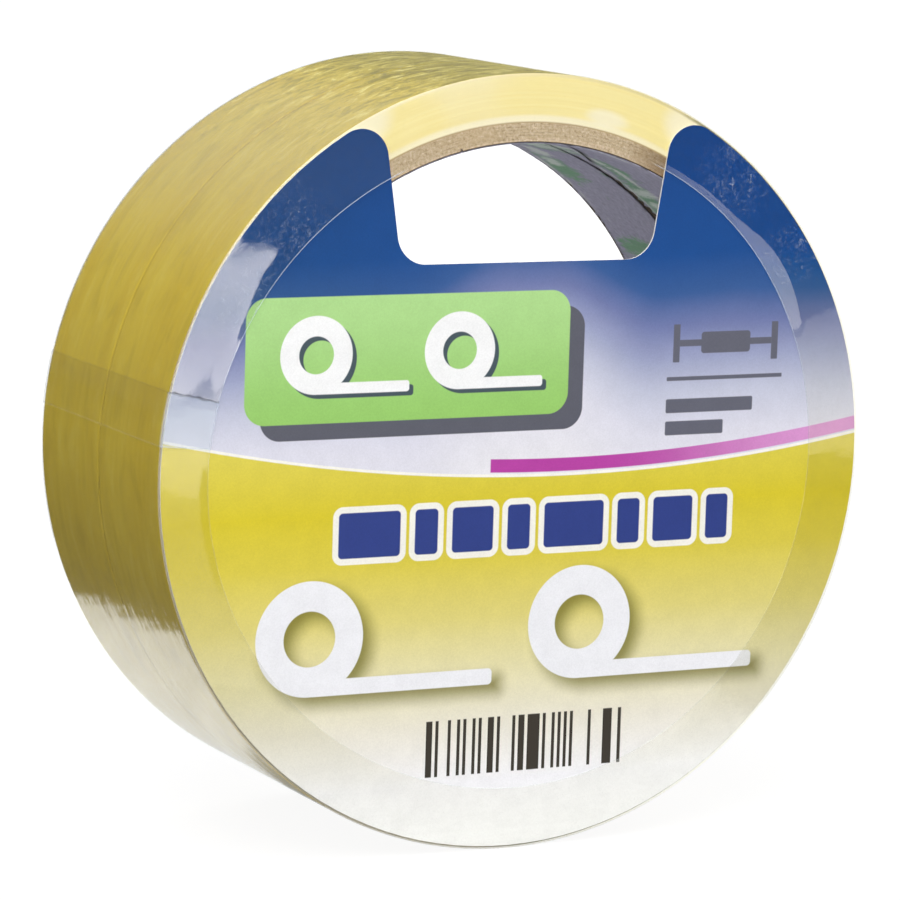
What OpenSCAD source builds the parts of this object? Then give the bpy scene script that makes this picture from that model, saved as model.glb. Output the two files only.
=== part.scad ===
// Twin pack of adhesive tape. Two rolls of clear tape, wound on spiral board cores, lie side
// by side behind a printed card disc, and a band of clear shrink film holds the three together.
// The pack stands on its rim: X is across it, Y is along the cores' axis with the card towards
// -Y, and +Z is up. The origin is on the ground, under the middle of the pack.

/* [Tape] */
// Width of the tape, and so of each roll
tape_w = 18; // [12:0.5:50]
// Length of the tape on each roll, in metres
tape_length_m = 40; // [10:1:66]
// Thickness of the tape, backing and adhesive together, in microns
tape_microns = 40; // [30:1:65]
// Gap between the two rolls
roll_gap = 0.05; // [0.05:0.05:0.5]

/* [Cores] */
// Inside diameter of the cores, the standard 3 inch size
core_bore_d = 76.2; // [72:0.1:80]
// Thickness of the printed paper liner that shows inside a core
liner_t = 0.25; // [0.15:0.05:0.5]
// Number of kraft board plies wound round the liner
ply_count = 6; // [3:1:8]
// Thickness of one kraft board ply
ply_t = 0.375; // [0.25:0.025:0.6]
// Thickness of the glue line that parts two plies
glue_line = 0.02; // [0.01:0.01:0.05]
// Length of core tube over which a ply's strip winds round once
ply_lead = 240; // [120:5:400]
// Width of the butt seam where the turns of a kraft strip meet
ply_seam_w = 0.3; // [0.1:0.05:1]
// Width of the butt seam in the liner, which opens as the paper dries
liner_seam_w = 0.6; // [0.1:0.05:1.5]

/* [Label card] */
// Thickness of the card
card_t = 0.25; // [0.15:0.05:1]
// How far the card's edge stays inside the edge of the rolls
card_inset = 0.25; // [0.1:0.05:2]
// Height of the window's clear room for a shop peg, from its sill to the top of the bore
peg_room = 13.9; // [8:0.1:20]
// Width of the window along its sill, before its corners are rounded
window_w = 33; // [24:0.5:40]
// Angle by which the window's sides lean apart
window_lean = 8.8; // [0:0.2:14]
// Radius of the window's lower corners
window_corner_r = 3.8; // [1:0.1:8]
// Radius of the card's two tips beside the window
tip_r = 3.5; // [1:0.1:5]

/* [Shrink sleeve] */
// Thickness of the shrunk film
film_t = 0.1; // [0.05:0.01:0.3]
// Room between the film and what it holds
film_fit = 0.02; // [0.01:0.01:0.05]
// How far the film's lips reach in over the faces
lip_w = 7; // [4:0.1:7.5]
// How far the cut edge of a lip waves in and out
lip_wave = 0.5; // [0:0.05:0.6]
// Width of the strip where the film's two ends lap
lap_w = 6.4; // [3:0.1:12]
// Place of the lap round the rim, anticlockwise from +X as seen from the card's side, off the ground
lap_angle = 171; // [0:1:180]

/* [Hidden] */
$fn = 96;
cut_over = 1; // how far a cutter runs past what it cuts
degrees_per_facet = 3; // turn of one facet in a helical seam
arc_step = 3; // angle between two points of the card's round stretches
lip_step = 5; // angle between two points of a lip's edge

core_r = core_bore_d / 2;
liner_outer_r = core_r + liner_t - glue_line;
core_outer_r = core_r + liner_t + ply_count * ply_t;
tape_side_area = tape_length_m * 1000 * tape_microns / 1000;
tape_r = sqrt(core_outer_r ^ 2 + tape_side_area / PI);
card_r = tape_r - card_inset;
film_inner_r = tape_r + film_fit;
film_r = film_inner_r + film_t;
film_corner_r = 2 * film_t;
lip_r = tape_r - lip_w;

// The stack along the cores' axis, from the back film to the front film
pack_depth = 2 * tape_w + roll_gap + card_t + 2 * film_t;
back_roll_at = film_t - pack_depth / 2;
front_roll_at = back_roll_at + tape_w + roll_gap;
card_at = front_roll_at + tape_w;
film_front_at = card_at + card_t;

// Where each strip's seam leaves the back end of its core: the liner, then the plies outwards
front_liner_seam = 60;
back_liner_seam = 205;
front_ply_seam = 75;
back_ply_seam = 290;
ply_seam_stagger = 360 / ply_count;

ply_numbers = [for (i = [1:ply_count]) i];

// Stands a shape, drawn flat with its front towards +Z, up on its rim
module stand() {
    translate([0, 0, film_r]) rotate([90, 0, 0]) children();
}

module ring(inner_r, outer_r, at, width) {
    translate([0, 0, at]) difference() {
        cylinder(r = outer_r, h = width);
        translate([0, 0, -cut_over]) cylinder(r = inner_r, h = width + 2 * cut_over);
    }
}

// --- The wound rolls ---

// A thin blade on a helix, which parts a wound strip along its butt seam
module seam_blade(inner_r, outer_r, at, seam_w, seam_angle) {
    blade_h = tape_w + 2 * cut_over;
    turn = 360 * blade_h / ply_lead;
    rotate(seam_angle) translate([0, 0, at - cut_over])
        linear_extrude(blade_h, twist = -turn, slices = ceil(turn / degrees_per_facet), segments = 4)
            translate([inner_r - cut_over, -seam_w / 2])
                square([outer_r - inner_r + 2 * cut_over, seam_w]);
}

// One strip of the core: a ring as wide as the tape, open along its helical seam
module wound_strip(inner_r, outer_r, at, seam_w, seam_angle) {
    difference() {
        ring(inner_r, outer_r, at, tape_w);
        seam_blade(inner_r, outer_r, at, seam_w, seam_angle);
    }
}

module core_liner(at, seam_angle) {
    color([0.42, 0.39, 0.43]) stand() wound_strip(core_r, liner_outer_r, at, liner_seam_w, seam_angle);
}

module core_ply(number, at, first_seam) {
    inner_r = core_r + liner_t + (number - 1) * ply_t;
    outer_r = inner_r + ply_t - glue_line;
    seam_angle = first_seam + (number - 1) * ply_seam_stagger;
    color([0.72, 0.61, 0.47]) stand() wound_strip(inner_r, outer_r, at, ply_seam_w, seam_angle);
}

module tape(at) {
    color([0.86, 0.79, 0.43]) stand() ring(core_outer_r, tape_r, at, tape_w);
}

// --- The label card ---

lean_up = [sin(window_lean), cos(window_lean)]; // up along the window's right side
lean_out = [cos(window_lean), -sin(window_lean)]; // square to that side, into the card
sill_at = core_r - peg_room;
sill_end = [window_w / 2, sill_at];
corner_reach = window_corner_r * tan((90 - window_lean) / 2);
corner_c = [window_w / 2 - corner_reach, sill_at + window_corner_r];

// The tip's rounding touches the window's side and the card's rim
tip_start = sill_end + tip_r * lean_out;
tip_along = tip_start * lean_up;
tip_climb = sqrt(tip_along ^ 2 + (card_r - tip_r) ^ 2 - tip_start * tip_start) - tip_along;
tip_c = tip_start + tip_climb * lean_up;

tip_turn = atan2(tip_c.y, tip_c.x);

function arc(c, r, from, to) =
    let (steps = ceil(abs(to - from) / arc_step))
    [for (i = [0:steps]) let (a = from + (to - from) * i / steps) c + r * [cos(a), sin(a)]];

// Half the card's outline: round the rim, over the tip, down the window's side and into its sill
card_half = concat(
    arc([0, 0], card_r, -90, tip_turn),
    arc(tip_c, tip_r, tip_turn, 180 - window_lean),
    arc(corner_c, window_corner_r, -window_lean, -90)
);

module label_card() {
    color([0.20, 0.32, 0.60]) stand() translate([0, 0, card_at]) linear_extrude(card_t)
        polygon(concat(
            card_half,
            [for (i = [len(card_half) - 1:-1:1]) [-card_half[i].x, card_half[i].y]]
        ));
}

// --- The shrink sleeve ---

// The half section of the film's outside: straight sides with rounded corners at the rim
module film_section(outer_r, half_depth, corner_r) {
    square([outer_r - corner_r, half_depth]);
    square([outer_r, half_depth - corner_r]);
    translate([outer_r - corner_r, half_depth - corner_r]) circle(corner_r);
}

module film_body(outer_r, depth, corner_r) {
    rotate_extrude() intersection() {
        union() {
            film_section(outer_r, depth / 2, corner_r);
            mirror([0, 1]) film_section(outer_r, depth / 2, corner_r);
        }
        translate([0, -depth]) square([2 * outer_r, 2 * depth]);
    }
}

// The strip of the second layer, where the film's ends lap
module lap_body() {
    half_angle = asin(lap_w / 2 / film_r);
    intersection() {
        film_body(film_r + film_t, pack_depth + 2 * film_t, film_corner_r + film_t);
        rotate(lap_angle) translate([0, 0, -pack_depth]) linear_extrude(2 * pack_depth)
            polygon([
                [0, 0],
                2 * film_r * [cos(half_angle), -sin(half_angle)],
                2 * film_r * [cos(half_angle), sin(half_angle)]
            ]);
    }
}

// A lip's cut edge: nearly round, with slow waves from the heat that shrank it
module lip_edge(turn) {
    polygon([
        for (a = [0:lip_step:360 - lip_step])
            (lip_r + lip_wave * (cos(2 * a + turn) + 0.5 * cos(3 * a - 180) + 0.4 * cos(a - 225)))
                * [cos(a), sin(a)]
    ]);
}

module shrink_sleeve() {
    lip_cut_h = film_t + 2 * cut_over;
    color([0.90, 0.92, 0.88, 0.30]) stand() difference() {
        union() {
            film_body(film_r, pack_depth, film_corner_r);
            lap_body();
        }
        translate([0, 0, back_roll_at]) cylinder(r = film_inner_r, h = card_at - back_roll_at);
        translate([0, 0, card_at - cut_over])
            cylinder(r = card_r + film_fit, h = card_t + cut_over);
        translate([0, 0, film_front_at - cut_over]) linear_extrude(lip_cut_h + cut_over) lip_edge(0);
        translate([0, 0, back_roll_at - lip_cut_h]) linear_extrude(lip_cut_h + cut_over) lip_edge(70);
    }
}

label_card();
shrink_sleeve();
tape(front_roll_at);  // front_tape
tape(back_roll_at);  // back_tape
core_liner(front_roll_at, front_liner_seam);  // front_core_liner
core_liner(back_roll_at, back_liner_seam);  // back_core_liner
for (i = ply_numbers) {
    core_ply(i, front_roll_at, front_ply_seam);
    core_ply(i, back_roll_at, back_ply_seam);
}
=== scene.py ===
# A sealed twin pack of clear tape: two rolls on board cores behind a printed card, in shrunk film.
# The pack stands on its rim. X runs across it, Y along the cores' axis from the card's side to the
# back, and Z up. Sizes are in metres, and MM turns millimetres into them.
import math
import random
from contextlib import contextmanager

import bpy
from mathutils import Matrix, Vector, noise


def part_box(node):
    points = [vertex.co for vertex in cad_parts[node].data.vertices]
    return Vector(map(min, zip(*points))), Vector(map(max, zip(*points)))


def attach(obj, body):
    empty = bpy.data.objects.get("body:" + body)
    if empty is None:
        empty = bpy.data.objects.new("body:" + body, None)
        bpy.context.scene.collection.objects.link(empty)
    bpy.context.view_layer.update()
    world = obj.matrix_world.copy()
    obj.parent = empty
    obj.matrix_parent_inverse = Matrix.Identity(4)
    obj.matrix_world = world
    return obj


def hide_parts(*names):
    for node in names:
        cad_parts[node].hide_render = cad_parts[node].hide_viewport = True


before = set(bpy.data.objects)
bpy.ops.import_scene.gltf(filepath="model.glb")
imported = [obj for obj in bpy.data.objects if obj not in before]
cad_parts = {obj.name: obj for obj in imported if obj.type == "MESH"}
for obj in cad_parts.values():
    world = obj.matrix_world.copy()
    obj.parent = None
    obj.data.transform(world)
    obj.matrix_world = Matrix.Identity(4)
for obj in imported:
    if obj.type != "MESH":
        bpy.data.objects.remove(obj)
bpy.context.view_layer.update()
bpy.ops.object.select_all(action="DESELECT")

MM = 0.001
TO_MM = 1 / MM

# --- Sizes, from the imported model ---

front_tape_low, front_tape_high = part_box("front_tape")
back_tape_low, back_tape_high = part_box("back_tape")
TAPE_R = front_tape_high.x
AXIS_Z = (front_tape_low.z + front_tape_high.z) / 2
CORE_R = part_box("front_core_ply_6")[1].x
LINER_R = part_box("front_core_liner")[1].x
BORE_R = 38.1 * MM
CARD_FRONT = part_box("label_card")[0].y
FILM_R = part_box("shrink_sleeve")[1].x - 0.003 * MM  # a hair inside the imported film
FILM_FACE = 18.25 * MM  # how far the film's faces stand from the pack's middle
FILM_EDGE = 18.2 * MM  # and where its folds end on the rim's side
LIP_R = 39.45 * MM  # the mean radius of a lip's cut edge
LIP_OUTER_R = 46.2 * MM  # where a lip begins, inside the fold
RIM_FROM_R = 46.3 * MM  # what lies further out belongs to the fold or the rim
LAP_FROM, LAP_TO = 167.07, 174.93  # degrees round the rim, anticlockwise from +X seen from the front
LAP_MIDDLE = (LAP_FROM + LAP_TO) / 2
LAP_THICK = 0.09 * MM
LAP_FACE = 18.34 * MM  # how far the lap's second layer may stand from the pack's middle
ROLL_SPLIT = (front_tape_high.y + back_tape_low.y) / 2


# --- Modelling helpers ---

def begin_edit(piece):
    """Opens a piece with the whole of its mesh selected."""
    bpy.context.view_layer.objects.active = piece
    bpy.ops.object.mode_set(mode="EDIT")
    bpy.ops.mesh.select_all(action="SELECT")


def end_edit():
    bpy.ops.object.mode_set(mode="OBJECT")


def turned(name, outline, steps):
    """A skin turned round the cores' axis, from an outline of (radius, y) points."""
    radius, y = outline[0]
    bpy.ops.mesh.primitive_circle_add(
        vertices=steps, radius=radius, fill_type="NOTHING",
        location=(0, y, AXIS_Z), rotation=(math.pi / 2, 0, 0))
    piece = bpy.context.object
    piece.name = piece.data.name = name
    bpy.ops.object.transform_apply(location=True, rotation=True, scale=True)
    begin_edit(piece)
    for next_radius, next_y in outline[1:]:
        bpy.ops.mesh.extrude_edges_move(TRANSFORM_OT_translate={"value": (0, next_y - y, 0)})
        if next_radius != radius:
            grow = next_radius / radius
            bpy.ops.transform.resize(value=(grow, 1, grow), center_override=(0, next_y, AXIS_Z))
        radius, y = next_radius, next_y
    end_edit()
    return piece


def close_and_point_outwards(piece, merge=0.002 * MM):
    begin_edit(piece)
    bpy.ops.mesh.remove_doubles(threshold=merge)
    bpy.ops.mesh.normals_make_consistent(inside=False)
    end_edit()


def turn_of(point):
    """Degrees round the rim, anticlockwise from +X as seen from the front, from 0 to 360."""
    return math.degrees(math.atan2(point.z - AXIS_Z, point.x)) % 360


def degrees_past(turn, mark):
    """How far a turn is past a mark, from -180 to 180."""
    return (turn - mark + 180) % 360 - 180


def radius_of(point):
    return math.hypot(point.x, point.z - AXIS_Z)


def place(vertex, turn, radius, y):
    angle = math.radians(turn)
    vertex.co = (radius * math.cos(angle), y, AXIS_Z + radius * math.sin(angle))


def smoothstep(low, high, value):
    share = min(max((value - low) / (high - low), 0.0), 1.0)
    return share * share * (3 - 2 * share)


def unroll(piece):
    """The piece's own map in metres: u runs round the rim from the film's lap, v across it."""
    layer = piece.data.uv_layers.new(name="unrolled")
    for face in piece.data.polygons:
        middle = (turn_of(face.center) - LAP_TO) % 360
        for loop in face.loop_indices:
            point = piece.data.vertices[piece.data.loops[loop].vertex_index].co
            turn = (turn_of(point) - LAP_TO) % 360
            if turn - middle > 180:
                turn -= 360
            elif turn - middle < -180:
                turn += 360
            reach = math.copysign(FILM_R - radius_of(point), point.y)
            layer.data[loop].uv = (math.radians(turn) * FILM_R, point.y + reach)


def group_of(piece, name, weight):
    """A vertex group, whose weight at each point is found by the function weight."""
    group = piece.vertex_groups.new(name=name)
    for vertex in piece.data.vertices:
        group.add([vertex.index], weight(vertex.co), "REPLACE")


def give_wall(piece, thickness):
    """Makes a skin a wall, which grows inwards from it."""
    bpy.ops.object.modifier_add(type="SOLIDIFY")
    wall = piece.modifiers[-1]
    wall.thickness, wall.offset = thickness, -1
    bpy.ops.object.modifier_apply(modifier=wall.name)


def finish_smooth(piece, angle=35):
    bpy.ops.object.select_all(action="DESELECT")
    piece.select_set(True)
    bpy.context.view_layer.objects.active = piece
    bpy.ops.object.shade_smooth_by_angle(angle=math.radians(angle))
    piece.select_set(False)


# --- Material helpers ---

def paint(red, green, blue):
    """A paint's colour, given as it looks, from 0 to 255, in the numbers that a shader takes."""
    shares = (channel / 255 for channel in (red, green, blue))
    return (*(s / 12.92 if s <= 0.04045 else ((s + 0.055) / 1.055) ** 2.4 for s in shares), 1.0)


WHITE = (1.0, 1.0, 1.0, 1.0)


class Nodes:
    """A tree of nodes under construction, written as plain sums."""

    def __init__(self, tree):
        self.tree = tree
        self.tree.nodes.clear()

    def node(self, kind, settings=None, **inputs):
        made = self.tree.nodes.new("ShaderNode" + kind)
        for key, value in (settings or {}).items():
            setattr(made, key, value)
        for key, value in inputs.items():
            self.feed(made.inputs[key.replace("_", " ")], value)
        return made

    def feed(self, socket, value):
        if isinstance(value, bpy.types.NodeSocket):
            self.tree.links.new(value, socket)
        else:
            socket.default_value = value

    def sum(self, operation, *values):
        made = self.tree.nodes.new("ShaderNodeMath")
        made.operation = operation
        for socket, value in zip(made.inputs, values):
            self.feed(socket, value)
        return made.outputs[0]

    def chain(self, operation, first, *others):
        for other in others:
            first = self.sum(operation, first, other)
        return first

    def plus(self, *values):
        return self.chain("ADD", *values)

    def times(self, *values):
        return self.chain("MULTIPLY", *values)

    def most(self, *values):
        return self.chain("MAXIMUM", *values)

    def least(self, *values):
        return self.chain("MINIMUM", *values)

    def minus(self, first, second):
        return self.sum("SUBTRACT", first, second)

    def apart(self, first, second):
        """How far two values are from each other."""
        return self.sum("ABSOLUTE", self.minus(first, second))

    def length(self, first, second):
        return self.sum("SQRT", self.plus(self.times(first, first), self.times(second, second)))

    def wander(self, value, noise, reach):
        """A value that a noise pushes up and down, over a reach."""
        return self.plus(value, self.times(self.minus(noise, 0.5), reach))

    def fade(self, value, low, high, to_low=0.0, to_high=1.0):
        """Goes softly from to_low, where value is low, to to_high, where it is high."""
        return self.node("MapRange", {"interpolation_type": "SMOOTHSTEP"}, Value=value, From_Min=low,
                         From_Max=high, To_Min=to_low, To_Max=to_high).outputs[0]

    def mix(self, share, first, second, how="MIX"):
        made = self.tree.nodes.new("ShaderNodeMix")
        made.data_type = "RGBA"
        made.blend_type = how
        self.feed(made.inputs[0], share)
        self.feed(made.inputs[6], first)
        self.feed(made.inputs[7], second)
        return made.outputs[2]

    def ramp(self, value, stops, low=0.0, high=1.0):
        """Paints by value, from stops of (value, red, green, blue)."""
        made = self.tree.nodes.new("ShaderNodeValToRGB")
        while len(made.color_ramp.elements) < len(stops):
            made.color_ramp.elements.new(0.5)
        for element, (at, *channels) in zip(made.color_ramp.elements, stops):
            element.position = (at - low) / (high - low)
            element.color = paint(*channels)
        share = self.node("MapRange", Value=value, From_Min=low, From_Max=high).outputs[0]
        self.feed(made.inputs[0], share)
        return made.outputs[0]

    def split(self, vector):
        return self.node("SeparateXYZ", Vector=vector).outputs

    def join(self, x, y, z):
        return self.node("CombineXYZ", X=x, Y=y, Z=z).outputs[0]

    def blend(self, share, first, second):
        """From one shader to another by share."""
        made = self.node("MixShader", Fac=share)
        self.tree.links.new(first, made.inputs[1])
        self.tree.links.new(second, made.inputs[2])
        return made.outputs[0]

    def both(self, first, second):
        made = self.node("AddShader")
        self.tree.links.new(first, made.inputs[0])
        self.tree.links.new(second, made.inputs[1])
        return made.outputs[0]


class Finish(Nodes):
    """A material, whose patterns run on the piece's own place in the pack."""

    def __init__(self, name):
        self.material = bpy.data.materials.new(name)
        self.material.use_nodes = True
        super().__init__(self.material.node_tree)
        self.colour = WHITE  # the colour so far, under the coats to come

    def coat(self, share, red, green, blue):
        """Lays a paint over the colour so far, by share."""
        self.colour = self.mix(share, self.colour, paint(red, green, blue))

    def object_point(self):
        return self.node("TexCoord").outputs["Object"]

    def noise(self, vector, detail=2.0, roughness=0.5, distortion=0.0):
        return self.node("TexNoise", Vector=vector, Scale=1.0, Detail=detail,
                         Roughness=roughness, Distortion=distortion).outputs[0]

    def stretched(self, x, y, z, shift=0.0):
        """The object's point with each axis scaled, for a grain that runs one way."""
        return self.node("Mapping", Vector=self.object_point(), Scale=(x, y, z),
                         Location=(shift, shift, shift)).outputs[0]

    def along_rim(self, turn, y, per_arc, per_y, shift=0.0):
        """A point for noise that runs round the rim, with its scales per millimetre."""
        arc = self.times(turn, per_arc * math.radians(1) * TAPE_R / MM)
        return self.join(arc, self.times(y, per_y), shift)

    def mark(self, name):
        """A piece's own number at each point, by the name of its attribute."""
        return self.node("Attribute", {"attribute_name": name}).outputs["Fac"]

    def bump(self, height, distance, strength):
        return self.node("Bump", Height=height, Distance=distance, Strength=strength).outputs[0]

    def solid(self, roughness, specular, normal):
        """The finish of a solid surface, in the colour so far."""
        shader = self.node("BsdfPrincipled", Base_Color=self.colour, Roughness=roughness,
                           Specular_IOR_Level=specular, Normal=normal)
        return self.done(shader.outputs[0])

    def around(self):
        """The turn round the rim in degrees, 0 at the top, and the radius and y in millimetres."""
        x, y, z = self.split(self.object_point())
        height = self.minus(z, AXIS_Z)
        left = self.times(x, -1.0)
        turn = self.sum("DEGREES", self.sum("ARCTAN2", left, height))
        radius = self.times(self.length(x, height), TO_MM)
        return turn, radius, self.times(y, TO_MM)

    def from_spot(self, along, across, spot):
        """How far a point is from a spot, given as its middle and half its sizes along and across."""
        at_along, at_across, half_along, half_across = spot
        return self.length(self.sum("DIVIDE", self.minus(along, at_along), half_along),
                           self.sum("DIVIDE", self.minus(across, at_across), half_across))

    def done(self, shader):
        output = self.node("OutputMaterial")
        self.tree.links.new(shader, output.inputs["Surface"])
        return self.material


def dress(piece, material):
    piece.data.materials.clear()
    piece.data.materials.append(material)


# --- Kraft board ---

def kraft_board():
    """Brown fibres in layers, with painted shade by the card's right horn, and darker at the very
    bore.
    """
    finish = Finish("kraft_board")
    turn, radius, y = finish.around()
    fibres = finish.noise(finish.stretched(2600, 1500, 2600), detail=5.0, roughness=0.7)
    blotches = finish.noise(finish.stretched(160, 90, 160), detail=3.0)
    layers = finish.noise(finish.join(finish.times(turn, 0.30), finish.times(y, 0.3),
                                      finish.times(radius, 5.0)), detail=3.0)
    finish.colour = finish.ramp(fibres, [
        (0.28, 130, 108, 82), (0.41, 194, 172, 141),
        (0.58, 212, 193, 167), (0.76, 240, 227, 206)])
    finish.coat(finish.fade(blotches, 0.45, 0.75, 0.0, 0.30), 206, 180, 142)
    finish.coat(finish.fade(layers, 0.60, 0.72, 0.0, 0.40), 150, 122, 90)
    # Painted shade: the core's front end darkened where the card's right horn shadows it
    horn_shade = finish.fade(finish.apart(turn, -32.0), 16.0, 1.0, 0.0, 0.85)
    at_front = finish.fade(y, -17.0, -17.6)
    finish.coat(finish.times(horn_shade, at_front), 112, 84, 48)
    finish.coat(finish.fade(radius, 38.46, 38.37, 0.0, 0.85), 58, 47, 40)
    return finish.solid(0.9, 0.2, finish.bump(fibres, 0.00012, 0.7))


# --- Liner paper ---

# Places on the liner: the turn from the top, which is -90 at the right, y, and half the size of each
GREEN_BLOTS = (
    (-38.5, -3.8, 7, 2.6), (-28, -5.2, 4, 2.6), (-55, 11.5, 2.4, 4.0), (-32.5, 12.8, 4.5, 3.4),
    (-20, 6, 3, 9), (20, -9, 8, 4), (70, 4, 9, 5), (150, -6, 12, 5), (-120, 8, 10, 4))
# Painted highlights where the creased paper catches the light
CREASE_HIGHLIGHTS = (
    (-37, -4.6, 1.4, 3.2), (-41, -5.0, 1.0, 2.4), (-30.5, 13, 1.6, 2.0), (-26, 12, 2.2, 2.4),
    (-21, 6, 1.6, 8.0), (-18.5, -1, 1.3, 4.0), (-24, -4.5, 5.0, 0.8), (-31, -5.5, 4.0, 0.7),
    (15, 3, 2, 8), (84, -8, 2, 6))


def liner_paper():
    """Purple-grey paper with a faint green print, painted highlights and shade along its creases, and
    darkening along its seam and rough ends, which is wear and painted shade.
    """
    finish = Finish("liner_paper")
    turn, _, y = finish.around()
    arc = finish.times(turn, math.radians(1) * BORE_R / MM)
    flat = finish.join(arc, y, 0.0)

    def drawn(along, across, lean, detail, roughness):
        """A noise drawn out on the unrolled paper."""
        point = finish.node("Mapping", Vector=flat, Scale=(along, across, 1.0), Rotation=(0, 0, lean))
        return finish.noise(point.outputs[0], detail=detail, roughness=roughness)

    wide = drawn(0.11, 0.16, 0.0, 3.0, 0.6)
    creases = drawn(0.85, 0.22, 0.25, 3.0, 0.6)
    feather = drawn(2.6, 0.8, 0.2, 4.0, 0.65)
    fibres = finish.noise(finish.stretched(1500, 1500, 1500), detail=4.0, roughness=0.6)
    finish.colour = finish.ramp(fibres, [
        (0.25, 160, 157, 178), (0.5, 181, 178, 199), (0.8, 202, 199, 218)])

    def spots(places, soft):
        """Ragged spots at the given places. The larger soft is, the softer are their edges."""
        found = 0.0
        for place in places:
            away = finish.wander(finish.from_spot(turn, y, place), creases, 2.0)
            away = finish.wander(away, feather, 1.8)
            found = finish.most(found, finish.fade(away, 1.0 + soft, 1.0 - soft))
        return found

    green = finish.most(finish.fade(wide, 0.62, 0.72), spots(GREEN_BLOTS, 0.45))
    finish.coat(finish.times(green, 0.85), 116, 180, 124)
    # Painted highlights on the creases' ridges
    pale = finish.most(spots(CREASE_HIGHLIGHTS, 0.5), finish.fade(creases, 0.66, 0.80, 0.0, 0.5))
    finish.coat(finish.times(pale, 0.8), 240, 248, 238)
    # Painted shade in the creases' hollows
    finish.coat(finish.fade(creases, 0.36, 0.26, 0.0, 0.35), 104, 98, 108)
    finish.coat(finish.mark("torn"), 236, 238, 230)
    # Darkening in the seam's gap and along the rough ends: painted shade, with some wear
    finish.coat(finish.mark("wear_and_shade"), 38, 32, 32)
    return finish.solid(0.6, 0.5, finish.bump(creases, 0.0005, 0.6))


# --- The printed card ---

class Print(Finish):
    """A finish with flat shapes, drawn in millimetres from the middle of the card."""

    def __init__(self, name):
        super().__init__(name)
        x, y, z = self.split(self.object_point())
        self.y = y
        self.x = self.times(x, TO_MM)
        self.z = self.times(self.minus(z, AXIS_Z), TO_MM)

    def offset(self, x, z):
        """Distances to the right of x and above z."""
        return self.minus(self.x, x), self.minus(self.z, z)

    def bar(self, x, z, half_w, half_h, corner):
        """How far a point is outside a bar with rounded corners."""
        right, up = self.offset(x, z)
        out_x = self.minus(self.sum("ABSOLUTE", right), half_w - corner)
        out_z = self.minus(self.sum("ABSOLUTE", up), half_h - corner)
        outside = self.length(self.most(out_x, 0.0), self.most(out_z, 0.0))
        inside = self.least(self.most(out_x, out_z), 0.0)
        return self.minus(self.plus(outside, inside), corner)

    def ring(self, x, z, middle_r, half_w):
        right, up = self.offset(x, z)
        return self.minus(self.apart(self.length(right, up), middle_r), half_w)

    @contextmanager
    def shifted(self, x, z):
        """Shapes drawn inside this are shifted by x and z, as for a shadow."""
        plain = self.x, self.z
        self.x, self.z = self.minus(self.x, x), self.minus(self.z, z)
        yield
        self.x, self.z = plain

    def shape(self, distance, ink, soft=0.07, strength=1.0, grow=0.0):
        """Prints a shape, given by how far points are outside it."""
        share = self.fade(distance, grow + soft, grow - soft, 0.0, strength)
        self.colour = self.mix(share, self.colour, ink)


def roll_sign(sheet, x, z, size, tail):
    """A sign of a tape roll seen from the side, with a strip that runs off it to the right."""
    thick = size * 0.26
    return sheet.least(
        sheet.ring(x, z, size - thick, thick),
        sheet.bar(x + tail / 2, z - size + thick * 0.55, tail / 2, thick * 0.55, thick * 0.3))


def card_ground(sheet):
    """A sky that deepens upwards, over a yellow field with a purple stripe on its arched edge."""
    x, z = sheet.x, sheet.z
    wobble = sheet.noise(sheet.stretched(45, 45, 45), detail=2.0)
    sky_z = sheet.wander(z, wobble, 3.0)
    sky_z = sheet.minus(sky_z, sheet.fade(sheet.apart(x, 1.0), 17.0, 3.0, 0.0, 5.5))
    sheet.colour = sheet.ramp(sky_z, [
        (-6, 228, 226, 231), (3, 216, 215, 227), (8, 190, 193, 212),
        (12, 152, 158, 190), (16, 110, 120, 166), (20, 55, 90, 147),
        (25, 24, 74, 140), (46, 18, 64, 130)], -46.2, 46.2)
    shade = sheet.times(sheet.fade(x, -8, -30), sheet.fade(z, 14, 22, 0.0, 0.8))
    sheet.colour = sheet.mix(shade, sheet.colour, (0.80, 0.90, 0.86, 1.0), "MULTIPLY")
    from_axis = sheet.length(x, z)
    deep = sheet.times(
        sheet.fade(from_axis, 39.2, 39.8), sheet.fade(z, 17, 25), sheet.fade(x, -5, 5, 0.15, 1.0))
    sheet.colour = sheet.mix(deep, sheet.colour, (0.15, 0.92, 1.08, 1.0), "MULTIPLY")
    field = sheet.ramp(z, [
        (-46, 252, 252, 253), (-38, 241, 240, 243), (-31, 230, 225, 209),
        (-25, 226, 219, 176), (-18, 218, 206, 122), (-11, 214, 198, 72),
        (-5, 211, 194, 44), (2, 216, 202, 80)], -46.2, 46.2)
    from_crest = sheet.minus(x, 6.0)
    arc_z = sheet.plus(sheet.times(from_crest, from_crest, 0.0022), -1.5)
    above_arc = sheet.minus(z, arc_z)
    sheet.coat(sheet.fade(above_arc, 0.40, 0.30), 240, 238, 232)
    sheet.colour = sheet.mix(sheet.fade(above_arc, 0.07, -0.07), sheet.colour, field)
    stripe = sheet.most(sheet.minus(sheet.apart(above_arc, 1.35), 0.8), sheet.minus(-4.0, x))
    stripe_ink = sheet.mix(sheet.fade(x, 10, 44), paint(180, 66, 160), paint(214, 150, 204))
    sheet.shape(stripe, stripe_ink)


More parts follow.
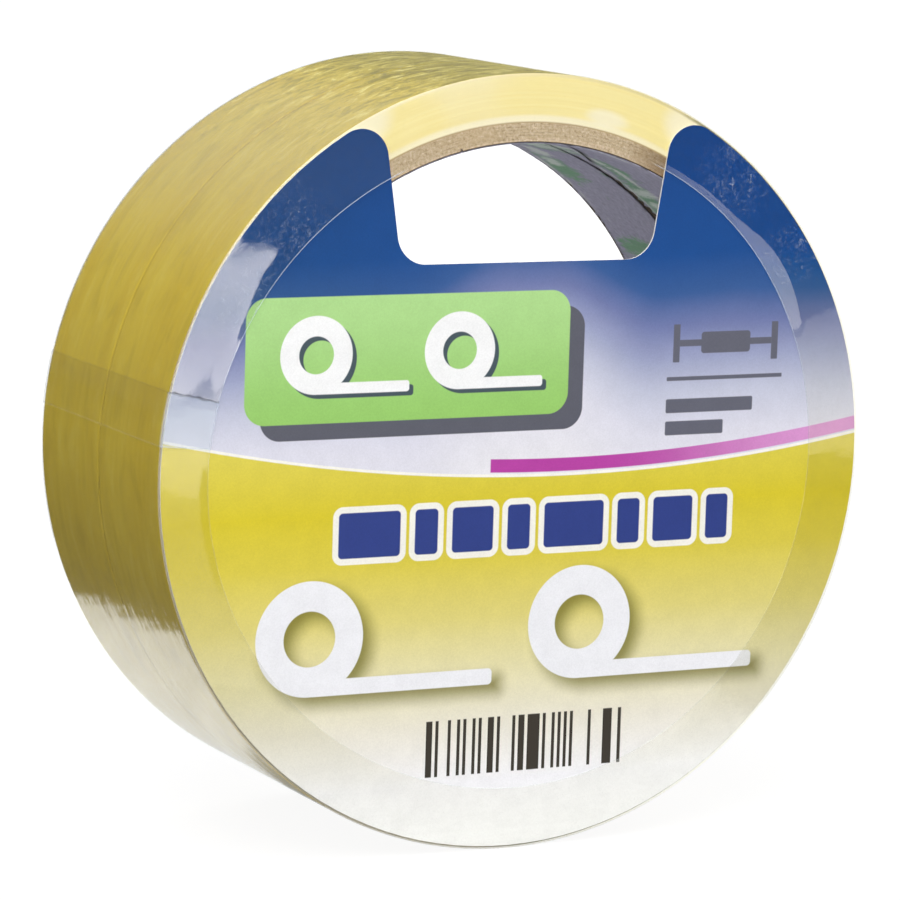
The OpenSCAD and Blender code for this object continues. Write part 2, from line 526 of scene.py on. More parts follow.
def card_print(sheet):
    """Plain shapes printed over the ground."""
    x, z = sheet.x, sheet.z

    # The green panel with its two small rolls
    panel = (-15.0, 13.4, 21.0, 7.4, 2.6)
    with sheet.shifted(2.0, -1.9):
        sheet.shape(sheet.bar(*panel), paint(92, 93, 104))
    green = sheet.mix(sheet.fade(z, 5, 21), paint(148, 198, 104), paint(170, 212, 138))
    sheet.shape(sheet.bar(*panel), green)

    def panel_signs():
        return sheet.least(
            roll_sign(sheet, -27.0, 14.0, 4.6, 12.0), roll_sign(sheet, -8.5, 14.0, 4.6, 11.0))

    with sheet.shifted(0.55, -0.5):
        sheet.shape(panel_signs(), paint(70, 84, 92))
    sheet.shape(panel_signs(), paint(240, 240, 240))

    # The size mark at the right: a width between two ticks, a rule and two strips
    mark = sheet.least(
        sheet.bar(27.4, 9.6, 8.0, 0.24, 0.1),
        sheet.bar(20.6, 13.9, 0.45, 2.3, 0.1), sheet.bar(34.2, 13.9, 0.45, 2.3, 0.1),
        sheet.bar(27.4, 13.9, 6.4, 0.4, 0.1), sheet.bar(27.4, 13.9, 3.4, 1.3, 0.4),
        sheet.bar(25.4, 6.3, 6.0, 0.85, 0.2), sheet.bar(23.4, 3.6, 4.0, 0.85, 0.2))
    sheet.shape(mark, paint(98, 99, 112))

    # A row of navy strips with a white outline
    row, at = [], -23.6
    for length in (8.0, 3.0, 5.4, 3.0, 8.0, 3.0, 5.4, 3.0):
        row.append(sheet.bar(at + length / 2, -7.4, length / 2, 2.7, 0.5))
        at += length + 1.9
    row = sheet.least(*row)
    sheet.shape(row, paint(238, 236, 226), grow=0.75)
    sheet.shape(row, paint(48, 64, 132))

    # Two large white rolls with a soft shadow
    def large_signs():
        return sheet.least(
            roll_sign(sheet, -27.0, -19.4, 6.9, 24.0), roll_sign(sheet, 8.6, -19.4, 6.9, 24.0))

    with sheet.shifted(1.1, -1.0):
        sheet.shape(large_signs(), paint(118, 112, 40), soft=1.5, strength=0.85, grow=0.2)
    sheet.shape(large_signs(), paint(234, 234, 238))

    # A block of fine bars
    column = sheet.sum("FLOOR", sheet.sum("DIVIDE", x, 0.41))
    bars = sheet.node("TexWhiteNoise", {"noise_dimensions": "1D"}, W=column).outputs[0]
    block = sheet.bar(1.6, -33.7, 13.2, 3.4, 0.05)
    share = sheet.times(sheet.fade(block, 0.06, -0.06), sheet.sum("GREATER_THAN", bars, 0.52))
    sheet.coat(share, 58, 52, 44)


def printed_card():
    """The printed face with its grain, and bare board elsewhere."""
    sheet = Print("printed_card")
    card_ground(sheet)
    card_print(sheet)
    grain = sheet.noise(sheet.stretched(5200, 5200, 5200), detail=3.0, roughness=0.7)
    cloud = sheet.noise(sheet.stretched(420, 420, 420, 3.0), detail=3.0)
    light = sheet.plus(
        sheet.fade(grain, 0.25, 0.75, 0.95, 1.04), sheet.fade(cloud, 0.3, 0.7, -0.02, 0.02))
    grained = sheet.mix(1.0, sheet.colour, sheet.join(light, light, light), "MULTIPLY")
    fibre = sheet.noise(sheet.stretched(2400, 2400, 2400), detail=3.0)
    board = sheet.mix(sheet.fade(fibre, 0.25, 0.75), paint(226, 224, 220), paint(238, 237, 234))
    printed = sheet.sum("LESS_THAN", sheet.y, CARD_FRONT + 0.004 * MM)
    sheet.colour = sheet.mix(printed, board, grained)
    roughness = sheet.minus(0.78, sheet.times(printed, 0.44))
    return sheet.solid(roughness, 0.22, sheet.bump(grain, 0.00002, 0.5))


# --- Wound tape ---

# Painted reflections of the film on a roll's side: the turn from the top, the radius, and half the
# size of each
SIDE_REFLECTIONS = ((29, 45.6, 5.0, 2.2), (-28, 45.2, 4.0, 2.4), (2, 41.0, 30, 0.5), (-14, 42.2, 3.5, 0.9))


def rim_colour(finish, turn, y, streaks):
    """Yellow and streaked round the rim, with painted shade along its crest and painted glints and
    shade of the film's creases by the top.
    """
    bands = finish.noise(finish.stretched(9, 150, 9, 2.0), detail=2.0)
    blots = finish.noise(finish.along_rim(turn, y, 0.13, 0.32, 5.0), detail=4.0, roughness=0.55,
                         distortion=0.5)
    finish.colour = finish.ramp(streaks, [
        (0.20, 206, 180, 55), (0.42, 208, 183, 58),
        (0.60, 211, 187, 62), (0.80, 214, 192, 69)])
    finish.coat(finish.fade(bands, 0.40, 0.65, 0.0, 0.35), 200, 170, 40)
    finish.coat(finish.fade(blots, 0.50, 0.68, 0.0, 0.40), 184, 160, 48)
    finish.coat(finish.fade(blots, 0.46, 0.32, 0.0, 0.35), 220, 202, 92)
    crease_glint_and_shade = finish.noise(finish.along_rim(turn, y, 0.24, 0.50, 8.0), detail=6.0, roughness=0.74,
                           distortion=1.0)
    from_top = finish.sum("ABSOLUTE", turn)
    on_top = finish.fade(from_top, 50, 8, 0.0, 0.85)
    # Painted shade along the rim's crest
    finish.coat(finish.fade(from_top, 26, 4, 0.0, 0.7), 164, 158, 66)
    # Painted shade and glints of the creased film over the top
    finish.coat(finish.times(on_top, finish.fade(crease_glint_and_shade, 0.48, 0.66)), 140, 134, 40)
    finish.coat(finish.times(on_top, finish.fade(crease_glint_and_shade, 0.46, 0.37)), 244, 234, 152)
    # More painted shade along the crest
    finish.coat(finish.fade(from_top, 20, 4, 0.0, 0.24), 110, 96, 24)
    # Dark flecks among the creases by the top: painted shade
    crease_shade_flecks = finish.fade(crease_glint_and_shade, 0.49, 0.58, 0.0, 0.46)
    finish.coat(finish.times(crease_shade_flecks, finish.fade(from_top, 34, 6)), 104, 90, 22)
    return finish.colour


def side_colour(finish, turn, radius, turns):
    """Paler, with a ring for each turn, painted reflections of the film, and the painted light and
    shade of the film's fold.
    """
    finish.colour = finish.ramp(turns, [
        (0.25, 246, 229, 162), (0.5, 249, 234, 170), (0.8, 251, 238, 178)])
    bloom = finish.noise(finish.stretched(55, 55, 55, 9.0), detail=3.0, roughness=0.45)
    cloud = finish.noise(finish.stretched(70, 70, 70, 1.0), detail=2.0)
    finish.coat(finish.fade(cloud, 0.35, 0.75, 0.0, 0.4), 247, 229, 152)
    finish.coat(finish.fade(bloom, 0.48, 0.76, 0.0, 0.45), 252, 246, 226)
    # Painted reflections of the film in front of the side, whitest by the card's horn tips
    for spot in SIDE_REFLECTIONS:
        away = finish.from_spot(turn, radius, spot)
        away = finish.wander(finish.times(away, away), bloom, 1.5)
        finish.coat(finish.fade(away, 1.9, 0.2, 0.0, 0.65), 253, 247, 230)
    finish.coat(finish.fade(radius, 40.85, 40.62, 0.0, 0.7), 150, 112, 66)
    fold = finish.ramp(turn, [
        (-31, 110, 108, 74), (-26, 218, 204, 152), (0, 246, 231, 182),
        (24, 254, 243, 212), (48, 232, 218, 180), (66, 158, 148, 132)], -31, 66)
    return finish.mix(finish.fade(radius, 45.9, 46.2, 0.0, 0.85), finish.colour, fold)


def wound_tape():
    finish = Finish("wound_tape")
    turn, radius, y = finish.around()
    facing = finish.split(finish.node("TexCoord").outputs["Normal"])[1]
    side = finish.fade(finish.sum("ABSOLUTE", facing), 0.35, 0.8)
    streaks = finish.noise(finish.stretched(60, 1250, 60), detail=4.0, roughness=0.62)
    turns = finish.noise(finish.join(finish.times(turn, 0.02), 0.0,
                                     finish.times(radius, 3.5)), detail=4.0, roughness=0.6)
    on_rim = rim_colour(finish, turn, y, streaks)
    on_side = side_colour(finish, turn, radius, turns)
    seam = finish.apart(y, ROLL_SPLIT / MM)
    finish.colour = finish.mix(finish.times(side, finish.fade(seam, 0.2, 0.4)), on_rim, on_side)
    # Painted shade in the groove between the two rolls
    finish.coat(finish.fade(seam, 0.40, 0.10, 0.0, 0.35), 150, 126, 36)
    return finish.solid(0.4, 0.2, finish.bump(finish.mix(side, streaks, turns), 0.00002, 0.25))


# --- Clear film ---

class ClearFilm(Finish):
    """Clear film. It mirrors at low angles, and shows white where it is scratched, cut or lapped."""

    # Where hairline scratches gather on a face: x and z from its middle, and how far they reach
    WORN_SPOTS = ((-30.5, 27.5, 9.5), (28.0, 33.5, 7.0), (-36.0, 21.0, 7.0), (36.0, 24.0, 6.0))

    def __init__(self):
        super().__init__("clear_film")
        self.turn, _, self.y = self.around()
        self.from_top = self.sum("ABSOLUTE", self.turn)
        x, _, z = self.split(self.object_point())
        self.left = self.times(x, TO_MM)
        self.up = self.times(self.minus(z, AXIS_Z), TO_MM)
        self.depth = self.sum("ABSOLUTE", self.y)
        self.on_face = self.fade(self.depth, 17.9, 18.15)
        self.on_rim = self.minus(1.0, self.on_face)

    def by_place(self, on_rim, on_face):
        """One strength on the rim and another on the faces."""
        return self.fade(self.on_face, 0.0, 1.0, on_rim, on_face)

    def wrinkles(self):
        ripples = self.along_rim(self.turn, self.y, 0.11, 0.42)
        ripples = self.noise(ripples, detail=3.0, roughness=0.55, distortion=0.4)
        fine = self.noise(self.stretched(520, 1900, 520), detail=3.0, roughness=0.6)
        crinkle = self.along_rim(self.turn, self.y, 0.24, 0.48, 4.0)
        crinkle = self.noise(crinkle, detail=5.0, roughness=0.64, distortion=1.0)
        slow = self.noise(self.stretched(90, 90, 90, 6.0), detail=2.0)
        high = self.fade(self.up, 14, 40)
        on_rim = self.plus(ripples, self.times(fine, 0.2), self.times(crinkle, high, 1.5))
        on_face = self.plus(self.times(slow, 0.5), self.times(fine, 0.03))
        return self.bump(self.mix(self.on_face, on_rim, on_face), 0.00013, 0.55)

    def veil(self):
        """A faint milkiness towards the top."""
        on_face = self.times(self.on_face, self.fade(self.turn, 20, 30, 0.0, 0.007),
                             self.fade(self.up, 27, 35))
        on_rim = self.times(self.on_rim, self.fade(self.up, 20, 38, 0.0, 0.05),
                            self.fade(self.up, 41, 45.5, 1.0, 0.2))
        return self.plus(on_face, on_rim)

    def hairlines(self, size, shift):
        """Broken lines, where a noise crosses its middle."""
        field = self.noise(
            self.stretched(size, size, size, shift), detail=2.0, roughness=0.6, distortion=0.9)
        gap_size = size * 0.9
        broken = self.noise(self.stretched(gap_size, gap_size, gap_size, shift + 3), detail=2.0)
        line = self.fade(self.apart(field, 0.5), 0.014, 0.003)
        return self.times(line, self.fade(broken, 0.46, 0.62))

    def scratches(self):
        """Hairlines and dust, which show most by the card's two horns and along the rim's top."""
        dust = self.noise(self.stretched(2600, 2600, 2600, 5.0), detail=3.0, roughness=0.7)
        scratch = self.most(self.hairlines(900, 7.0), self.times(self.hairlines(1700, 11.0), 0.8),
                            self.fade(dust, 0.68, 0.78, 0.0, 0.45))
        wear_and_shade = self.times(self.on_rim, self.fade(self.up, 22, 44, 0.02, 0.08))
        for at_x, at_z, reach in self.WORN_SPOTS:
            away = self.length(self.minus(self.left, at_x), self.minus(self.up, at_z))
            near = self.fade(away, reach, reach * 0.2, 0.0, 0.2)
            wear_and_shade = self.most(wear_and_shade, self.times(self.on_face, near))
        return self.times(scratch, self.most(wear_and_shade, 0.012))

    def lip_line(self):
        """A lip's cut edge, light over the card and unseen over the rolls."""
        return self.times(self.mark("cut_edge"), self.fade(self.from_top, 24.0, 26.5),
                          self.fade(self.up, -5, 30, 0.08, 0.38))

    def lap(self):
        """The lap's second layer, whose middle is 81 degrees to the left of the top."""
        in_lap = self.fade(self.apart(self.turn, 81.0), 4.0, 3.8)
        return self.times(in_lap, self.by_place(0.004, 0.15))

    def lap_line(self):
        line = self.fade(self.apart(self.turn, 84.9), 0.18, 0.04, 0.0, 0.16)
        return self.times(line, self.by_place(0.2, 1.0))

    def back_fold(self):
        return self.times(
            self.fade(self.y, 17.2, 18.0), self.fade(self.up, 0, 20, 0.0, 0.2), self.on_rim)

    def haze(self):
        """All that shows white."""
        return self.plus(self.veil(), self.scratches(), self.lip_line(), self.lap(), self.lap_line(),
                         self.back_fold())

    def tint(self):
        """Clear, but for a grey line at the lap's upper edge, a shade below it and painted shade on
        the far fold, where it is seen edge-on.
        """
        crooked = self.noise(self.stretched(700, 700, 700, 2.0), detail=3.0)
        at_line = self.wander(self.turn, crooked, self.on_face)
        line = self.times(self.fade(self.apart(at_line, 77.1), 0.24, 0.06), self.by_place(0.05, 0.4))
        below = self.times(self.fade(self.turn, 76.9, 77.2),
                           self.fade(self.turn, 84.5, 78.0, 0.0, 0.06), self.on_rim)
        tint = self.mix(below, (1.0, 1.0, 0.985, 1.0), (0.45, 0.42, 0.34, 1.0))
        tint = self.mix(line, tint, (0.42, 0.41, 0.40, 1.0))
        edge_on = self.node("LayerWeight", Blend=0.5).outputs["Facing"]
        # Painted shade on the right-hand fold, where it is seen edge-on
        far_fold_shade = self.times(self.fade(self.depth, 17.95, 18.1), self.fade(self.turn, -19, -28),
                              self.fade(edge_on, 0.82, 0.96, 0.0, 0.75))
        return self.mix(far_fold_shade, tint, (0.40, 0.41, 0.30, 1.0))

    def mirror(self, normal):
        """How much the film mirrors: most at low angles, and least on the crest of the rim."""
        facing = self.node("LayerWeight", Blend=0.5, Normal=normal).outputs["Facing"]
        rim_gleam = self.times(
            self.fade(self.up, 32, 45, 0.45, 0.08), self.fade(self.from_top, 4, 22, 0.1, 1.0))
        gleam = self.most(rim_gleam, self.times(self.on_face, 0.45))
        return self.plus(0.045, self.times(gleam, self.sum("POWER", facing, 5.0)))


def clear_film():
    finish = ClearFilm()
    normal = finish.wrinkles()
    clear = finish.node("BsdfTransparent", Color=finish.tint()).outputs[0]
    gloss = finish.node("BsdfGlossy", Color=WHITE, Roughness=0.03, Normal=normal).outputs[0]
    scuff = finish.node("BsdfPrincipled", Base_Color=(0.74, 0.84, 1.0, 1.0), Roughness=0.5).outputs[0]
    skin = finish.blend(finish.mirror(normal), clear, gloss)
    return finish.done(finish.blend(finish.haze(), skin, scuff))


# --- The rolls of tape ---

def tape_roll(name, front_y, back_y, seed):
    """One wound roll: a rim with shallow winding lines and sides where single turns stand back."""
    draw = random.Random(seed)
    rim_r = TAPE_R - 0.03 * MM
    edge = 0.07 * MM
    wall_steps, rim_steps = 17, 22
    stands_back = 0.035  # the most that a turn stands back from a side, in millimetres
    rim_dip = 0.03  # and that a winding line lies below the rim
    wall_radii = [CORE_R + (rim_r - edge - CORE_R) * i / wall_steps for i in range(wall_steps + 1)]
    front = [(r, front_y + draw.uniform(0.0, stands_back) * MM) for r in wall_radii]
    back = [(r, back_y - draw.uniform(0.0, stands_back) * MM) for r in reversed(wall_radii)]
    rim_depth = back_y - front_y - 2 * edge
    rim = [(rim_r - draw.uniform(0.0, rim_dip) * MM, front_y + edge + rim_depth * i / rim_steps)
           for i in range(rim_steps + 1)]
    front[0], back[-1] = (CORE_R, front_y), (CORE_R, back_y)
    roll = turned(name, front + rim + back + [(CORE_R, front_y)], 360)
    close_and_point_outwards(roll)
    finish_smooth(roll)
    return roll


# --- The paper liners ---

def core_liner(name, front_y, back_y, seam_at_back, front_cut, back_cut, seed):
    """A paper strip wound into a tube. Its butt seam runs on a helix and gapes for part of its way.
    Its two ends are roughly cut. A cut is its depth, how much deeper it is at one turn, that turn,
    and over how many degrees."""
    columns, rows = 400, 36
    gap_turn = 360 / columns
    outline = [(LINER_R, front_y + (back_y - front_y) * i / rows) for i in range(rows + 1)]
    liner = turned(name, outline, columns)
    # One column of faces is taken out, and its gap becomes the seam
    for face in liner.data.polygons:
        face.select = (turn_of(face.center) - seam_at_back) % 360 < gap_turn
    bpy.ops.object.mode_set(mode="EDIT")
    bpy.ops.mesh.select_mode(type="FACE")
    bpy.ops.mesh.delete(type="FACE")
    bpy.ops.mesh.select_mode(type="VERT")
    end_edit()
    twist = 360 / 240  # degrees that the seam turns for each millimetre along the core
    frayed = 1.6  # how far in from an end the rough cut reaches, in millimetres
    wear_and_shade = liner.data.attributes.new("wear_and_shade", "FLOAT", "POINT")
    torn = liner.data.attributes.new("torn", "FLOAT", "POINT")

    def cut(shape, turn, row):
        depth, more, at, over = shape
        away = degrees_past(turn, at)
        rough = 0.5 + 0.5 * noise.fractal(Vector((turn * 0.6, seed, row)), 1.0, 2.0, 4)
        return (depth + more * math.exp(-(away / over) ** 2)) * rough

    for vertex in liner.data.vertices:
        point = vertex.co
        turn = turn_of(point)
        along = (back_y - point.y) / MM
        from_seam = degrees_past(turn - seam_at_back, gap_turn / 2)
        front_room, back_room = (point.y - front_y) / MM, along
        end_room = min(front_room, back_room)
        y = point.y + MM * (cut(front_cut, turn, 0.0) * max(0.0, 1 - front_room / frayed)
                            - cut(back_cut, turn, 9.0) * max(0.0, 1 - back_room / frayed))
        # The seam gapes from 1 to 10 mm off the back, and the paper curls in there and at its ends
        gape = smoothstep(1.2, 3.2, along) * smoothstep(10.5, 8.5, along)
        relief = noise.fractal(Vector((turn * 0.35, y / MM * 0.5, seed)), 1.0, 2.0, 3)
        curl = (0.03 + 0.08 * gape) * math.exp(-abs(from_seam) / 1.6)
        ends = 0.06 * max(0.0, 1 - end_room / 0.8)
        radius = LINER_R - (0.035 * (1 + relief) * 0.5 + (curl + ends) * 0.6) * MM
        wander = 0.5 * noise.fractal(Vector((y / MM * 0.7, seed, 3.0)), 1.0, 2.0, 3)
        shut = math.copysign(0.4 * gap_turn * (1 - gape) * math.exp(-abs(from_seam) / 4), from_seam)
        place(vertex, turn - shut + twist * along + wander * math.exp(-abs(from_seam) / 3), radius, y)
        ragged = 0.5 + noise.fractal(Vector((turn * 0.5, seed, 20.0)), 1.0, 2.0, 3)
        # The darkening at the rough ends and along the gaping seam is painted shade, with some wear
        wear_and_shade.data[vertex.index].value = max(
            0.8 * ragged * smoothstep(1.2, 0.0, end_room),
            (0.2 + 0.7 * gape) * smoothstep(1.5, 0.5, abs(from_seam)))
        torn.data[vertex.index].value = (
            0.9 * smoothstep(0.4, 0.9, ragged + 0.3) * smoothstep(2.6, 1.3, end_room)
            * smoothstep(0.5, 1.3, end_room) * smoothstep(14, 4, abs(turn - 52)))
    close_and_point_outwards(liner, 0.0001 * MM)
    give_wall(liner, 0.1 * MM)
    finish_smooth(liner, 40)
    return liner


# --- The shrunk film ---

def lip_edge(turn, shift):
    """How far the cut edge of a lip waves in or out of a true circle, in millimetres."""
    a = math.radians(turn)
    return 0.5 * (math.cos(2 * a + math.radians(shift)) + 0.5 * math.cos(3 * a - math.pi)
                  + 0.4 * math.cos(a - math.radians(225)))


def film_outline():
    """The film's section as (radius, y) points, over the front, the rim and the back."""
    corner = 0.2 * MM
    half_rows = 18
    lip_radii = [
        LIP_R + step * MM
        for step in (0, 0.12, 0.28, 0.55, 1.0, 1.7, 2.2, 2.6, 3.6, 4.6, 5.6, 6.3, 6.78)]
    corner_turns = [math.radians(a) for a in (0, 18, 36, 54, 72, 90)]
    lip = [(r, -FILM_FACE) for r in lip_radii]
    bend = [(FILM_R - corner + corner * math.sin(a), -FILM_FACE + corner - corner * math.cos(a))
            for a in corner_turns]
    shares = [1 - i / half_rows for i in range(1, half_rows)]
    half = [(FILM_R, -FILM_FACE * share + corner * share) for share in shares]
    rim = [p for p in bend + half if p[1] < ROLL_SPLIT]
    rim += [(r, -y) for r, y in reversed(rim)]
    return lip + rim + [(r, -y) for r, y in reversed(lip)]


def sharpen_lap(film, columns):
    """Slides columns of points to the lap's two edges, so that its steps come out sharp."""
    spacing = 360 / columns
    beside = 0.04
    moved = {}
    for edge in (LAP_FROM, LAP_TO):
        nearest = round((edge - 90) / spacing) * spacing + 90
        moved[round(nearest, 3)] = edge - beside
        moved[round(nearest + spacing, 3)] = edge + beside
    for vertex in film.data.vertices:
        turn = turn_of(vertex.co)
        new = moved.get(round(turn / spacing) * spacing)
        if new is not None:
            place(vertex, new, radius_of(vertex.co), vertex.co.y)


def mark_cut_edge(film):
    cut_edge = film.data.attributes.new("cut_edge", "FLOAT", "POINT")
    for vertex in film.data.vertices:
        cut_edge.data[vertex.index].value = float(radius_of(vertex.co) < LIP_R + 0.05 * MM)


def lift_lips(film):
    """The lips wave, and stand off the faces a little towards their cut edge."""
    for vertex in film.data.vertices:
        point = vertex.co
        radius, turn = radius_of(point), turn_of(point)
        if radius > RIM_FROM_R or abs(point.y) < FILM_EDGE:
            continue
        share = (LIP_OUTER_R - radius) / (LIP_OUTER_R - LIP_R)
        wave = lip_edge(turn, 0 if point.y < 0 else 70) * MM * max(share, 0) ** 1.5
        from_lap = degrees_past(turn, LAP_MIDDLE)
        off = 1 - math.exp(-(from_lap / 9) ** 2)
        at_right = turn < 90
        steep = smoothstep(20, 32, turn) if at_right else 0.0
        flat = 0.78 - 0.13 * steep + 0.19 * smoothstep(35, 49, turn) if at_right else 0.8
        lift = 0.225 * smoothstep(9, 24, turn) if at_right else 0.225
        curl = 0.053 * share * (1 - steep) + (lift + 0.045 * steep) * max(0.0, share - flat)
        y = math.copysign(FILM_FACE + curl * off * MM, point.y)
        place(vertex, turn, radius + wave, y)


def shrink_rim(film):
    """Slow waves round the rim, where the film shrank unevenly. Its folds stay crisp."""
    group_of(film, "rim", lambda p: smoothstep(18.1 * MM, 17.0 * MM, abs(p.y)))
    waves = bpy.data.textures.new("shrink_waves", "CLOUDS")
    waves.noise_scale, waves.noise_depth = 0.5, 2
    film.data.uv_layers.new(name="waves_map")
    source, target = film.data.uv_layers["unrolled"], film.data.uv_layers["waves_map"]
    wave_length, wave_width = 18 * MM, 7 * MM
    for i in range(len(film.data.loops)):
        u, v = source.data[i].uv
        target.data[i].uv = (u / wave_length, v / wave_width)
    bpy.ops.object.modifier_add(type="DISPLACE")
    shape = film.modifiers[-1]
    shape.texture, shape.texture_coords, shape.uv_layer = waves, "UV", "waves_map"
    shape.mid_level, shape.strength, shape.vertex_group = 1.0, 0.05 * MM, "rim"
    bpy.ops.object.modifier_apply(modifier=shape.name)


def lay_lap(film, outer_count):
    """The second layer of the lap, made of the outer skin's points, which come first."""
    for vertex in film.data.vertices[:outer_count]:
        point = vertex.co
        turn, radius = turn_of(point), radius_of(point)
        if not LAP_FROM < turn < LAP_TO:
            continue
        if radius > RIM_FROM_R and abs(point.y) < FILM_EDGE:
            place(vertex, turn, radius + LAP_THICK, point.y)
        else:
            y = math.copysign(min(abs(point.y) + LAP_THICK, LAP_FACE), point.y)
            place(vertex, turn, radius, y)


def film_sleeve():
    """One skin turned to the film's section, given its waves, its wall and the lap's second layer."""
    columns = 480
    film = turned("film_sleeve", film_outline(), columns)
    sharpen_lap(film, columns)
    close_and_point_outwards(film)
    unroll(film)
    mark_cut_edge(film)
    lift_lips(film)
    shrink_rim(film)
    outer_count = len(film.data.vertices)
    give_wall(film, 0.08 * MM)
    lay_lap(film, outer_count)
    finish_smooth(film, 50)
    return film


# --- Making the pack ---

film = film_sleeve()
front_roll = tape_roll("front_tape_roll", front_tape_low.y, front_tape_high.y, 3)
back_roll = tape_roll("back_tape_roll", back_tape_low.y, back_tape_high.y, 8)
front_liner = core_liner("front_liner_strip", front_tape_low.y, front_tape_high.y, 60.0,
                         (0.15, 0.0, 0, 1), (0.5, 1.9, 50, 12), 1.0)
back_liner = core_liner("back_liner_strip", back_tape_low.y, back_tape_high.y, 205.0,
                        (0.35, 1.5, 47, 12), (0.4, 1.3, 45, 22), 5.0)

board = kraft_board()
for name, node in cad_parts.items():
    if "core_ply" in name:
        dress(node, board)
dress(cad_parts["label_card"], printed_card())
dress(film, clear_film())
tape = wound_tape()
dress(front_roll, tape)
dress(back_roll, tape)
paper = liner_paper()
dress(front_liner, paper)
dress(back_liner, paper)

for piece, nodes, slot in (
        (film, ["shrink_sleeve"], "clear_film"),
        (front_roll, ["front_tape"], "clear_tape"),
        (back_roll, ["back_tape"], "clear_tape"),
        (front_liner, ["front_core_liner"], "liner_paper"),
        (back_liner, ["back_core_liner"], "liner_paper")):
    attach(piece, "root")
    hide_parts(*nodes)


# --- Floor, light and camera ---

# Bright sheets: middle x and y, half width and half length, turn in degrees, light far off and near
FLOOR_SHEETS = (
    (161, -525, 30, 173, 30, 4.9, 3.0),
    (86, -314, 13, 47, 23.4, 1.7, 1.4),
    (35, -191, 13, 86, 21.8, 0.5, 0.4),
    (311, -362, 80, 129, 31.9, 0.75, 0.9),
    (1202, -1912, 26, 1606, 29.9, 0.45, 2.0))


def sheet_light(finish, x, y):
    """How bright the sheets are at a point of the floor."""
    uneven = finish.noise(finish.stretched(45, 45, 45), detail=4.0, roughness=0.7)
    sheets = 0.0
    for at_x, at_y, half_w, half_l, turn, far_light, near_light in FLOOR_SHEETS:
        lean = math.radians(turn)
        from_x, from_y = finish.minus(x, at_x), finish.minus(y, at_y)
        across = finish.plus(
            finish.times(from_x, math.cos(lean)), finish.times(from_y, math.sin(lean)))
        along = finish.minus(
            finish.times(from_y, math.cos(lean)), finish.times(from_x, math.sin(lean)))
        out = finish.most(
            finish.minus(finish.sum("ABSOLUTE", across), half_w),
            finish.minus(finish.sum("ABSOLUTE", along), half_l))
        out = finish.wander(out, uneven, 14.0)
        share = finish.times(
            finish.fade(out, 2.5, -2.5), finish.fade(along, -half_l, half_l, far_light, near_light))
        sheets = finish.plus(sheets, share)
    return sheets


def white_floor():
    """White to the camera with a faint shadow. What shines mirrors a light floor under the pack, less
    the pack's own shadow, a dark floor beyond it and five bright sheets laid out in front."""
    finish = Finish("white_floor")
    rays = finish.node("LightPath").outputs
    x, y, _ = finish.split(finish.object_point())
    x, y = finish.times(x, TO_MM), finish.times(y, TO_MM)
    away = finish.length(x, y)
    aside = finish.sum("ABSOLUTE", x)
    fringe = finish.noise(finish.join(finish.times(x, 0.012), finish.times(y, 0.26), 0.0),
                          detail=4.0, roughness=0.72)
    edge = finish.wander(finish.plus(aside, finish.times(finish.minus(y, 43), 0.13)), fringe, 22.0)
    near = finish.times(finish.fade(aside, 10, 50, 0.92, 1.5), finish.fade(edge, 53.5, 50.5),
                        finish.fade(fringe, 0.3, 0.7, 0.84, 1.12))
    shadow_end = finish.wander(y, fringe, 7.0)
    shadow = finish.times(finish.fade(aside, 32, 24, 0.0, 0.7),
                          finish.fade(shadow_end, 17.0, 14.5), finish.fade(y, -24, -17))
    span = finish.times(
        finish.fade(y, -112, -34), finish.fade(y, 200, 120), finish.minus(1.0, shadow))
    mirrored = finish.plus(0.07, finish.times(near, span))
    sheets = sheet_light(finish, x, y)
    hue = finish.mix(finish.fade(sheets, 0.0, 1.0), (0.96, 0.98, 1.0, 1.0), (1.0, 0.955, 0.91, 1.0))
    mirror = finish.node("Emission", Color=hue, Strength=finish.plus(mirrored, sheets)).outputs[0]

    def matt(grey):
        return finish.node("BsdfDiffuse", Color=(grey, grey, grey, 1.0)).outputs[0]

    def glow(strength):
        return finish.node("Emission", Color=WHITE, Strength=strength).outputs[0]

    lighting = finish.both(matt(0.36), glow(0.1))
    seen = finish.both(glow(finish.fade(away, 120, 360, 0.93, 1.03)), matt(0.1))
    unseen = finish.blend(rays["Is Glossy Ray"], lighting, mirror)
    return finish.done(finish.blend(rays["Is Camera Ray"], unseen, seen))


bpy.ops.mesh.primitive_plane_add(size=12, location=(0, 0, 0))
floor = bpy.context.object
floor.name = "floor"
dress(floor, white_floor())


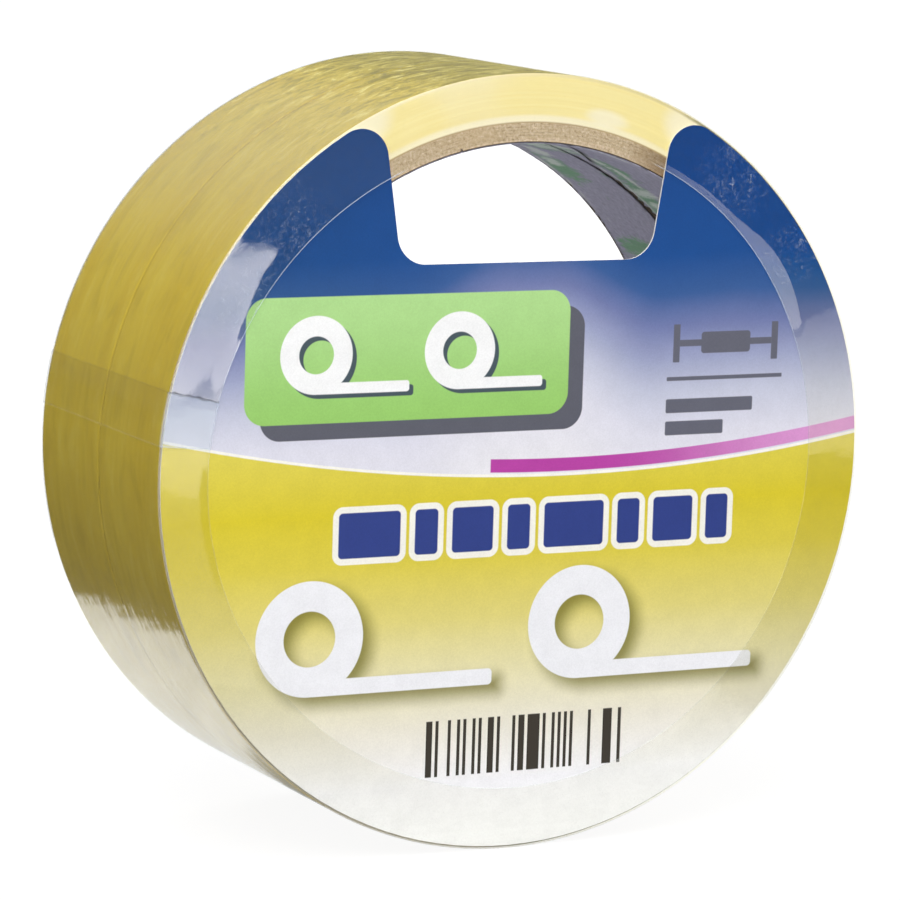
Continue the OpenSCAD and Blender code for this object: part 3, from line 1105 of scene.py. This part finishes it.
def room():
    """White to the camera, plain to what it lights, and brighter towards the right to what shines."""
    world = bpy.data.worlds.new("room")
    bpy.context.scene.world = world
    world.use_nodes = True
    nodes = Nodes(world.node_tree)
    rays = nodes.node("LightPath").outputs
    to_right = nodes.split(nodes.node("TexCoord").outputs["Generated"])[0]

    def background(strength):
        return nodes.node("Background", Color=WHITE, Strength=strength).outputs[0]

    mirrored = background(nodes.fade(to_right, -0.45, -0.02, 0.12, 0.36))
    unseen = nodes.blend(rays["Is Glossy Ray"], background(0.24), mirrored)
    nodes.node("OutputWorld", Surface=nodes.blend(rays["Is Camera Ray"], unseen, background(1.0)))


room()
PACK_MIDDLE = Vector((0, 0, AXIS_Z))


def lamp(name, direction, distance, width, height, share):
    """A soft lamp aimed at the pack. share is how bright a white face square to it comes out."""
    data = bpy.data.lights.new(name, "AREA")
    data.shape, data.size, data.size_y = "RECTANGLE", width, height
    data.energy = share * math.pi ** 2 * distance ** 2
    made = bpy.data.objects.new(name, data)
    bpy.context.scene.collection.objects.link(made)
    way = Vector(direction).normalized()
    made.location = PACK_MIDDLE + way * distance
    made.rotation_euler = (-way).to_track_quat("-Z", "Y").to_euler()
    return made


def compass(azimuth, elevation):
    """A direction by degrees to the right of the card's own and degrees up."""
    a, e = math.radians(azimuth), math.radians(elevation)
    return (math.sin(a) * math.cos(e), -math.cos(a) * math.cos(e), math.sin(e))


key_lamp = lamp("key_lamp", (-0.35, -0.5, 0.85), 1.0, 0.8, 0.8, 1.27)
key_lamp.visible_glossy = False
key_gleam = lamp("key_gleam", (-0.35, -0.5, 0.85), 1.0, 0.8, 0.8, 0.3)
key_gleam.visible_diffuse = False
lamp("front_softbox", compass(2, 3), 1.2, 0.46, 0.5, 0.27)
back_fill = lamp("back_fill", (0.5, 0.75, 0.5), 1.2, 0.7, 0.7, 0.55)
back_fill.visible_glossy = False

camera_data = bpy.data.cameras.new("camera")
camera_data.lens, camera_data.sensor_width = 177.8, 36.0
camera_data.shift_x, camera_data.shift_y = -0.0012, -0.0011
camera_data.clip_start, camera_data.clip_end = 0.05, 50.0
camera = bpy.data.objects.new("camera", camera_data)
bpy.context.scene.collection.objects.link(camera)
right, up = (0.89513, -0.44481, 0.02977), (0.04168, 0.14999, 0.98781)
towards_viewer = (-0.44385, -0.88297, 0.15281)
axes = Matrix((right, up, towards_viewer)).transposed().to_4x4()
camera.matrix_world = Matrix.Translation((-0.2411, -0.4793, 0.1287)) @ axes
bpy.context.scene.camera = camera
bpy.context.scene.view_settings.view_transform = "Standard"
